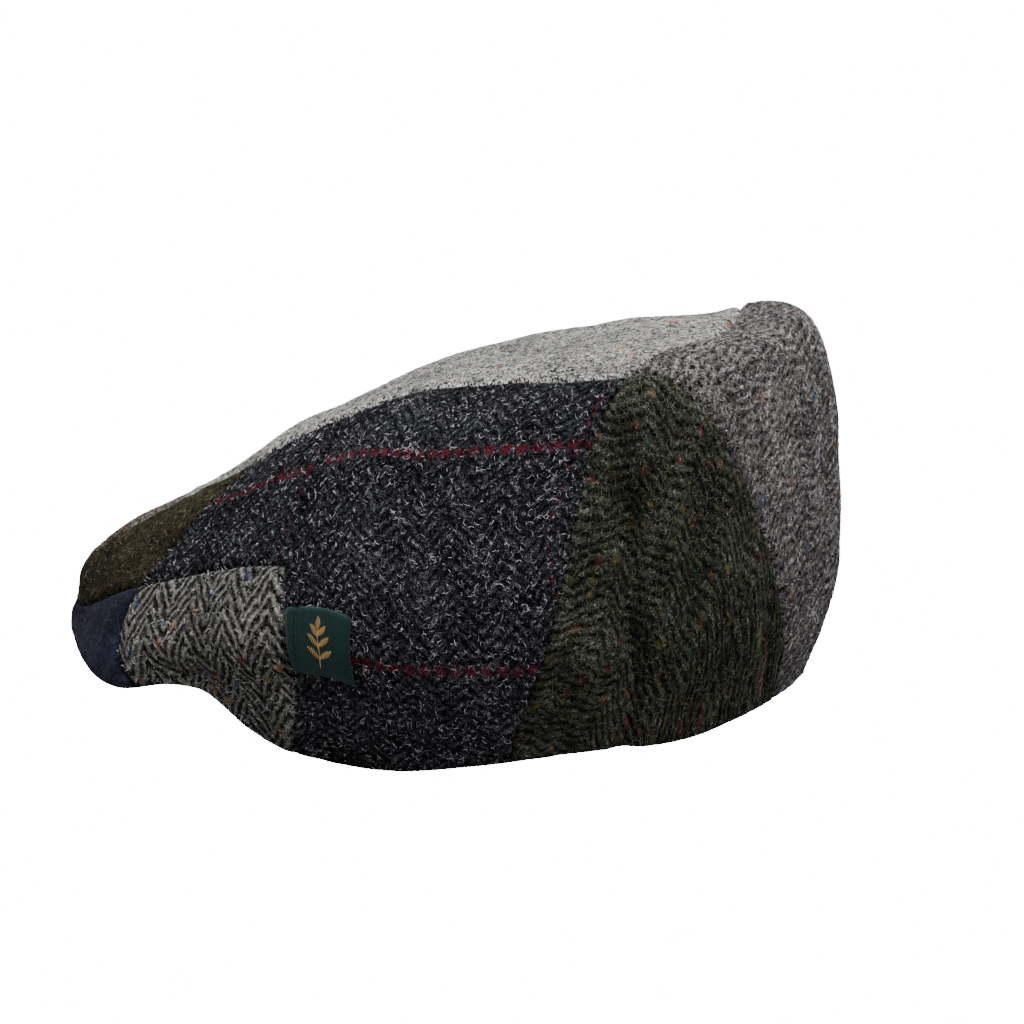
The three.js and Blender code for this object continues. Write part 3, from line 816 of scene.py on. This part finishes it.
def hairs(name, slot, material_shares, density, length):
    """Short curly wool hairs over a panel, as thin bent ribbons."""
    panel = PANELS[name]
    quads, area = panel["quads"], panel["area"]
    count = round(density * area.sum() / 100)
    chosen = RANDOM.choice(len(quads), count, p=area / area.sum())
    a, b, c, d = (quads[chosen, k] for k in range(4))
    u, v = RANDOM.uniform(0, 1, (2, count, 1))

    def between(values):
        return (values[a] * (1 - u) + values[b] * u) * (1 - v) + (values[d] * (1 - u) + values[c] * u) * v

    root = between(panel["outside"])
    up = between(panel["normal"])
    up /= np.linalg.norm(up, axis=1, keepdims=True)
    side = np.cross(up, RANDOM.normal(size=(count, 3)))
    side /= np.linalg.norm(side, axis=1, keepdims=True)
    other = np.cross(up, side)
    long = RANDOM.gamma(HAIR_EVENNESS, length / HAIR_EVENNESS, (count, 1))
    long = np.minimum(long, length * HAIR_LONGEST)
    curl = RANDOM.normal(0, HAIR_CURL, (count, 1))
    rise = np.abs(RANDOM.normal(0, HAIR_LIFT, (count, 1)))
    points = []
    for way in np.linspace(0, 1, HAIR_STEPS + 1):
        angle = curl * way
        run = long * way
        points.append(root + (side * np.cos(angle) + other * np.sin(angle)) * run
                      + up * (HAIR_ROOT + rise * (way * (2 - way))))
    points = np.stack(points, 1)
    along = np.gradient(points, axis=1)
    roll = RANDOM.uniform(-HAIR_ROLL, HAIR_ROLL, (count, 1, 1))
    across = np.cross(along, up[:, None])
    across /= np.linalg.norm(across, axis=2, keepdims=True)
    taper = np.linspace(1, HAIR_TIP, HAIR_STEPS + 1)[None, :, None]
    across = (across * np.cos(roll) + up[:, None] * np.sin(roll)) * HAIR_WIDTH / 2 * taper
    vertices = np.stack([points - across, points + across], 2).reshape(-1, 3)
    first = (np.arange(count) * (HAIR_STEPS + 1) * 2)[:, None] + np.arange(HAIR_STEPS)[None] * 2
    faces = np.stack([first, first + 1, first + 3, first + 2], -1).reshape(-1, 4)
    mesh = bpy.data.meshes.new(name + "_wool")
    mesh.from_pydata((above_floor(vertices) * MM).tolist(), [], faces.tolist())
    shares = np.array([share for _, share in material_shares])
    for material, _ in material_shares:
        mesh.materials.append(material)
    shade = RANDOM.choice(len(shares), count, p=shares / shares.sum())
    mesh.polygons.foreach_set("material_index", np.repeat(shade, HAIR_STEPS).astype(np.int32))
    mesh.shade_smooth()
    piece = bpy.data.objects.new(name + "_wool", mesh)
    bpy.context.scene.collection.objects.link(piece)
    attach(piece, "root")


def fine_peak():
    """The stiff peak with rounded edges."""
    ways = (1 - np.cos(np.linspace(0, math.pi, PEAK_ROWS))) / 2
    share = np.linspace(-1, 1, PEAK_COLUMNS + 1)
    azimuth = np.radians(PEAK_HALF_ANGLE * share)
    p, q = np.sin(azimuth), -np.cos(azimuth)
    edge = surface(p, q)
    out = normal_of(surface, p, q) * [1, 1, 0]
    out /= np.linalg.norm(out, axis=1, keepdims=True)
    back = np.stack([-p, -q, 0 * p], 1)
    depth = (PEAK_END + (PEAK_DEPTH - PEAK_END) * (1 - share**2))[:, None]
    upright = np.array([0, 0, 1])
    thick = (upright * PEAK_THICKNESS - out * PEAK_BEVEL) / 2
    front = edge - out * PEAK_INSET + upright * PEAK_LIFT + thick
    rows = []
    for way in ways:
        middle = front + back * depth * way + upright * PEAK_RISE * way * depth / PEAK_DEPTH
        from_side = (1 - np.abs(share))[:, None] * PEAK_SIDE_REACH
        from_edge = np.minimum(np.minimum(way, 1 - way) * depth, from_side)
        swell = np.sqrt(1 - np.clip(1 - from_edge / (PEAK_THICKNESS / 2), 0, 1) ** 2)
        rows.append((middle + thick * swell, middle - thick * swell))
    top = np.stack([row[0] for row in rows], 1)
    bottom = np.stack([row[1] for row in rows], 1)
    index = np.arange((PEAK_COLUMNS + 1) * PEAK_ROWS).reshape(PEAK_COLUMNS + 1, PEAK_ROWS)
    a, b, c, d = index[:-1, :-1], index[1:, :-1], index[1:, 1:], index[:-1, 1:]
    upper = np.stack([a, b, c, d], -1).reshape(-1, 4)
    lower = upper[:, ::-1] + index.size
    piece = mesh_object("peak", np.vstack([top.reshape(-1, 3), bottom.reshape(-1, 3)]),
                        np.vstack([upper, lower]).tolist(), LINING)
    weld_close(piece, WELD)
    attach(piece, "root")
    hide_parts("peak")


def weld_close(piece, distance):
    """Joins vertices that lie together, as along the edges of two faces of a shell."""
    work = bmesh.new()
    work.from_mesh(piece.data)
    bmesh.ops.remove_doubles(work, verts=work.verts, dist=distance * MM)
    bmesh.ops.recalc_face_normals(work, faces=work.faces)
    work.to_mesh(piece.data)
    work.free()


def label_place(u, v):
    """A place on the label: u from its front edge to its back, v from its top to its foot."""
    corners = np.array(LABEL_CORNERS)
    u = np.asarray(u, float)[..., None]
    v = np.asarray(v, float)[..., None]
    top = corners[0] * (1 - u) + corners[1] * u
    foot = corners[3] * (1 - u) + corners[2] * u
    place = top * (1 - v) + foot * v
    return place[..., 0], place[..., 1]


def label_point(u, v, height):
    """A point at a height above the crown, at a place on the label."""
    p, q = label_place(u, v)
    return surface(p, q) + normal_of(surface, p, q) * np.asarray(height, float)[..., None]


def label_bow(u, v):
    """How far the label's free part stands off the crown."""
    free = np.clip((u - LABEL_SEWN) / (1 - LABEL_SEWN), 0, 1)
    return LABEL_BOW * np.sin(math.pi * v) * free


def fine_label():
    """The woven label with rounded edges, pinched along its line of stitches."""
    ways = np.linspace(0, 1, LABEL_STEPS)
    u, v = np.meshgrid(ways, ways)
    from_edge = np.minimum(np.minimum(u, 1 - u), np.minimum(v, 1 - v)) * LABEL_WIDTH
    swell = np.sqrt(1 - np.clip(1 - from_edge / LABEL_EDGE, 0, 1) ** 2)
    middle = LABEL_GAP + LABEL_THICKNESS / 2 + label_bow(u, v)
    half = LABEL_THICKNESS / 2 * swell
    pinch = LABEL_PINCH * np.exp(-((u - LABEL_STITCH) / LABEL_PINCH_WIDTH) ** 2)
    top = label_point(u, v, middle + half - pinch)
    bottom = label_point(u, v, middle - half)
    index = np.arange(LABEL_STEPS * LABEL_STEPS).reshape(LABEL_STEPS, LABEL_STEPS)
    a, b, c, d = index[:-1, :-1], index[:-1, 1:], index[1:, 1:], index[1:, :-1]
    upper = np.stack([d, c, b, a], -1).reshape(-1, 4)
    lower = upper[:, ::-1] + index.size
    cloth = np.stack([u.ravel() * LABEL_WIDTH, v.ravel() * LABEL_WIDTH], 1)
    piece = mesh_object("side_label", np.vstack([top.reshape(-1, 3), bottom.reshape(-1, 3)]),
                        np.vstack([upper, lower]).tolist(), LABEL, np.vstack([cloth, cloth]))
    weld_close(piece, WELD)
    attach(piece, "root")
    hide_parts("side_label")


def threads(name, strokes, width, material):
    """Short raised threads on the label, each from one place to another."""
    vertices, faces = [], []
    ways = np.linspace(0, 1, THREAD_STEPS)
    for (u0, v0), (u1, v1) in strokes:
        u = u0 + (u1 - u0) * ways
        v = v0 + (v1 - v0) * ways
        height = LABEL_GAP + LABEL_THICKNESS + label_bow(u, v) + THREAD_ARCH * np.sin(math.pi * ways)
        line = label_point(u, v, height)
        up = normal_of(surface, *label_place(u, v))
        across = np.cross(line[-1] - line[0], up)
        across /= np.linalg.norm(across, axis=1, keepdims=True)
        start = len(vertices)
        last = len(line) - 1
        for k, (point, rise, out) in enumerate(zip(line, up, across)):
            radius = width / 2 * (THREAD_TIP if k in (0, last) else 1)
            for turn in np.arange(THREAD_SIDES) * 2 * math.pi / THREAD_SIDES:
                vertices.append(point + out * radius * math.cos(turn) + rise * radius * math.sin(turn))
        for k in range(last):
            for s in range(THREAD_SIDES):
                t = (s + 1) % THREAD_SIDES
                low = start + k * THREAD_SIDES
                faces.append([low + s, low + t, low + THREAD_SIDES + t, low + THREAD_SIDES + s])
        faces.append([start + s for s in range(THREAD_SIDES)][::-1])
        faces.append([start + last * THREAD_SIDES + s for s in range(THREAD_SIDES)])
    piece = mesh_object(name, vertices, faces, material)
    weld_close(piece, THREAD_WELD)
    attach(piece, "root")


def leaf_strokes(foot, angle, length):
    """Slanted stitches that fill one leaf of the sprig."""
    strokes = []
    way = np.array([math.sin(angle), -math.cos(angle)])
    side = np.array([way[1], -way[0]])
    for share in np.linspace(0.06, 0.94, LEAF_STITCHES):
        half = LEAF_HALF_WIDTH * math.sin(math.pi * share) ** LEAF_FULLNESS
        middle = np.array(foot) + way * length * share
        slant = way * half * LEAF_SLANT
        strokes.append((tuple(middle - side * half + slant), tuple(middle + side * half - slant)))
    return strokes


STEM = [
    # from and to, as shares of the label's width and height
    ((0.50, 0.86), (0.52, 0.66)),
    ((0.52, 0.66), (0.50, 0.46)),
    ((0.50, 0.46), (0.50, 0.30)),
]
LEAVES = [
    # foot, angle from upright, length
    ((0.52, 0.72), 0.85, 0.25),
    ((0.52, 0.72), -0.85, 0.25),
    ((0.51, 0.55), 0.75, 0.24),
    ((0.51, 0.55), -0.75, 0.24),
    ((0.50, 0.40), 0.62, 0.20),
    ((0.50, 0.40), -0.62, 0.20),
    ((0.50, 0.32), 0.0, 0.20),
]


def label_work():
    """A plain sprig of leaves in gold thread, and the line of stitches by the label's front edge."""
    strokes = list(STEM)
    for foot, angle, length in LEAVES:
        strokes += leaf_strokes(foot, angle, length)
    threads("label_sprig", strokes, SPRIG_THREAD, GOLD)
    tops = np.arange(0.04, 0.93, STITCH_PITCH)
    stitches = [((LABEL_STITCH, v), (LABEL_STITCH, v + STITCH_LENGTH)) for v in tops]
    threads("label_stitches", stitches, STITCH_THREAD, LABEL_THREAD)


# The pieces.

SIDES = side_panels()
FRONT_LINE = whole_width(line_through(FRONT_SEAM[0:2]))
BACK_LINE = edge_arc(360 - EDGE_END, EDGE_END)


def mirror_patch(patch):
    return {**patch, **{side: mirrored(patch[side]) for side in ("top", "bottom", "front", "back")}}


cloth_panel("crown_top_front", "mauve_brown_tweed", MAUVE_BROWN, [strip(0, 1, FRONT_LINE)])
cloth_panel("crown_top_middle", "cream_marl_tweed", CREAM, [strip(1, 5)])
cloth_panel("crown_top_back", "mauve_grey_marl_tweed", MAUVE_GREY, [strip(5, 9, None, BACK_LINE)])
COVER = four_sided(whole_width(line_through(FRONT_SEAM)), edge_arc(-EDGE_FRONT, EDGE_FRONT),
                   mirrored(line_through(TEMPLE_FRONT_SEAM)), line_through(TEMPLE_FRONT_SEAM),
                   fade=0.14, origin=0.5)
cloth_panel("peak_cover", "navy_felted_wool", NAVY, [COVER])
SIDE_CLOTHS = [
    # panel, slot, material, drift of its weave
    ("front", "olive_tweed", OLIVE, None),
    ("side", "charcoal_marl_tweed", CHARCOAL, SIDE_DRIFT),
    ("temple", "salt_pepper_herringbone", SALT, None),
    ("back", "green_herringbone_tweed", GREEN, None),
]
for side, slot, material, drift in SIDE_CLOTHS:
    cloth_panel(f"crown_left_{side}", slot, material, SIDES[side], drift)
    cloth_panel(f"crown_right_{side}", slot, material, [mirror_patch(patch) for patch in SIDES[side]], drift)

fine_peak()
fine_label()
label_work()


# Wool hairs.

def hair_material(name, color):
    return one_color(name, color, roughness=0.8, sheen=0.0)


WHITE_HAIR = hair_material("white_hair", (0.92, 0.92, 0.93))
GREY_HAIR = hair_material("grey_hair", (0.13, 0.13, 0.15))
DARK_HAIR = hair_material("dark_hair", (0.003, 0.003, 0.004))
GREEN_HAIR = hair_material("green_hair", (0.22, 0.23, 0.15))
RUST_HAIR = hair_material("rust_hair", (0.12, 0.055, 0.022))
MAUVE_HAIR = hair_material("mauve_hair", (0.42, 0.385, 0.38))

HAIRS = {
    # hairs on a square centimetre, their length, and the share of each kind
    "crown_top_front": (55, 1.5, ((MAUVE_HAIR, 2), (WHITE_HAIR, 1), (DARK_HAIR, 6))),
    "crown_top_middle": (80, 1.5, ((WHITE_HAIR, 3), (DARK_HAIR, 7))),
    "crown_top_back": (120, 1.3, ((MAUVE_HAIR, 3), (WHITE_HAIR, 3), (DARK_HAIR, 13))),
    "peak_cover": (30, 1.5, ((DARK_HAIR, 9), (GREY_HAIR, 1))),
    "crown_left_front": (50, 1.6, ((GREEN_HAIR, 3), (RUST_HAIR, 1), (DARK_HAIR, 6))),
    "crown_left_side": (135, 1.3, ((WHITE_HAIR, 11), (GREY_HAIR, 20), (DARK_HAIR, 69))),
    "crown_left_temple": (130, 1.3, ((WHITE_HAIR, 16), (GREY_HAIR, 12), (DARK_HAIR, 72))),
    "crown_left_back": (110, 1.4, ((GREEN_HAIR, 30), (RUST_HAIR, 7), (DARK_HAIR, 63))),
}
for name, (density, length, shares) in HAIRS.items():
    for panel in (name, name.replace("left", "right")) if "left" in name else (name,):
        hairs(panel, SLOTS[panel], shares, density, length)


# Floor, light and camera.

SKY_SEEN = 30.0
SKY_LIGHT = 0.24
FLOOR_SEEN = 30.0
FLOOR_COLOR = 0.24
FLOOR_REACH = 6
LIT_PLACE = (0, 0, 0.08)
LAMPS = [
    # name, place, size, power
    ("overhead", (0.10, 0.20, 1.3), 0.8, 30),
    ("front", (0.7, -1.1, 0.8), 0.5, 8),
    ("behind", (0.8, 1.3, 0.6), 0.5, 13),
]
LENS = 109.48
SENSOR_WIDTH = 36
CAMERA_PLACE = (0.9564, 0.4218, 0.3093)
CAMERA_YAW = 22.57
CAMERA_ELEVATION = 13.03
CAMERA_ROLL = -3.82


def seen_and_lit(tree, socket, seen, lit):
    """One value where the camera looks, another for the light that the surface gives the cap."""
    path = tree.nodes.new("ShaderNodeLightPath")
    value = tree.nodes.new("ShaderNodeMapRange")
    tree.links.new(path.outputs["Is Camera Ray"], value.inputs["Value"])
    value.inputs["To Min"].default_value = lit
    value.inputs["To Max"].default_value = seen
    tree.links.new(value.outputs[0], socket)


def pale_floor():
    material = bpy.data.materials.new("floor")
    material.use_nodes = True
    shader = material.node_tree.nodes["Principled BSDF"]
    shader.inputs["Roughness"].default_value = 0.9
    shader.inputs["Base Color"].default_value = (FLOOR_COLOR, FLOOR_COLOR, FLOOR_COLOR, 1)
    shader.inputs["Emission Color"].default_value = (1, 1, 1, 1)
    seen_and_lit(material.node_tree, shader.inputs["Emission Strength"], FLOOR_SEEN, 0.0)
    return material


floor_mesh = bpy.data.meshes.new("floor")
floor_corners = [(x * FLOOR_REACH, y * FLOOR_REACH, 0) for x, y in ((-1, -1), (1, -1), (1, 1), (-1, 1))]
floor_mesh.from_pydata(floor_corners, [], [(0, 1, 2, 3)])
floor = bpy.data.objects.new("floor", floor_mesh)
bpy.context.scene.collection.objects.link(floor)
floor_mesh.materials.append(pale_floor())

world = bpy.data.worlds.new("studio")
world.use_nodes = True
bpy.context.scene.world = world
sky = world.node_tree.nodes["Background"]
seen_and_lit(world.node_tree, sky.inputs["Strength"], SKY_SEEN, SKY_LIGHT)


def area_light(name, location, size, power):
    """A square soft light that faces the cap."""
    light = bpy.data.lights.new(name, "AREA")
    light.shape = "SQUARE"
    light.size = size
    light.energy = power
    lamp = bpy.data.objects.new(name, light)
    lamp.location = location
    lamp.rotation_euler = (Vector(LIT_PLACE) - Vector(location)).to_track_quat("-Z", "Y").to_euler()
    bpy.context.scene.collection.objects.link(lamp)


for lamp_name, lamp_place, lamp_size, lamp_power in LAMPS:
    area_light(lamp_name, lamp_place, lamp_size, lamp_power)

camera_data = bpy.data.cameras.new("camera")
camera_data.lens = LENS
camera_data.sensor_width = SENSOR_WIDTH
camera = bpy.data.objects.new("camera", camera_data)
around = Matrix.Rotation(math.radians(CAMERA_YAW) + math.pi / 2, 4, "Z")
down = Matrix.Rotation(math.pi / 2 - math.radians(CAMERA_ELEVATION), 4, "X")
tilt = Matrix.Rotation(math.radians(CAMERA_ROLL), 4, "Z")
camera.matrix_world = Matrix.Translation(CAMERA_PLACE) @ around @ down @ tilt
bpy.context.scene.collection.objects.link(camera)
bpy.context.scene.camera = camera
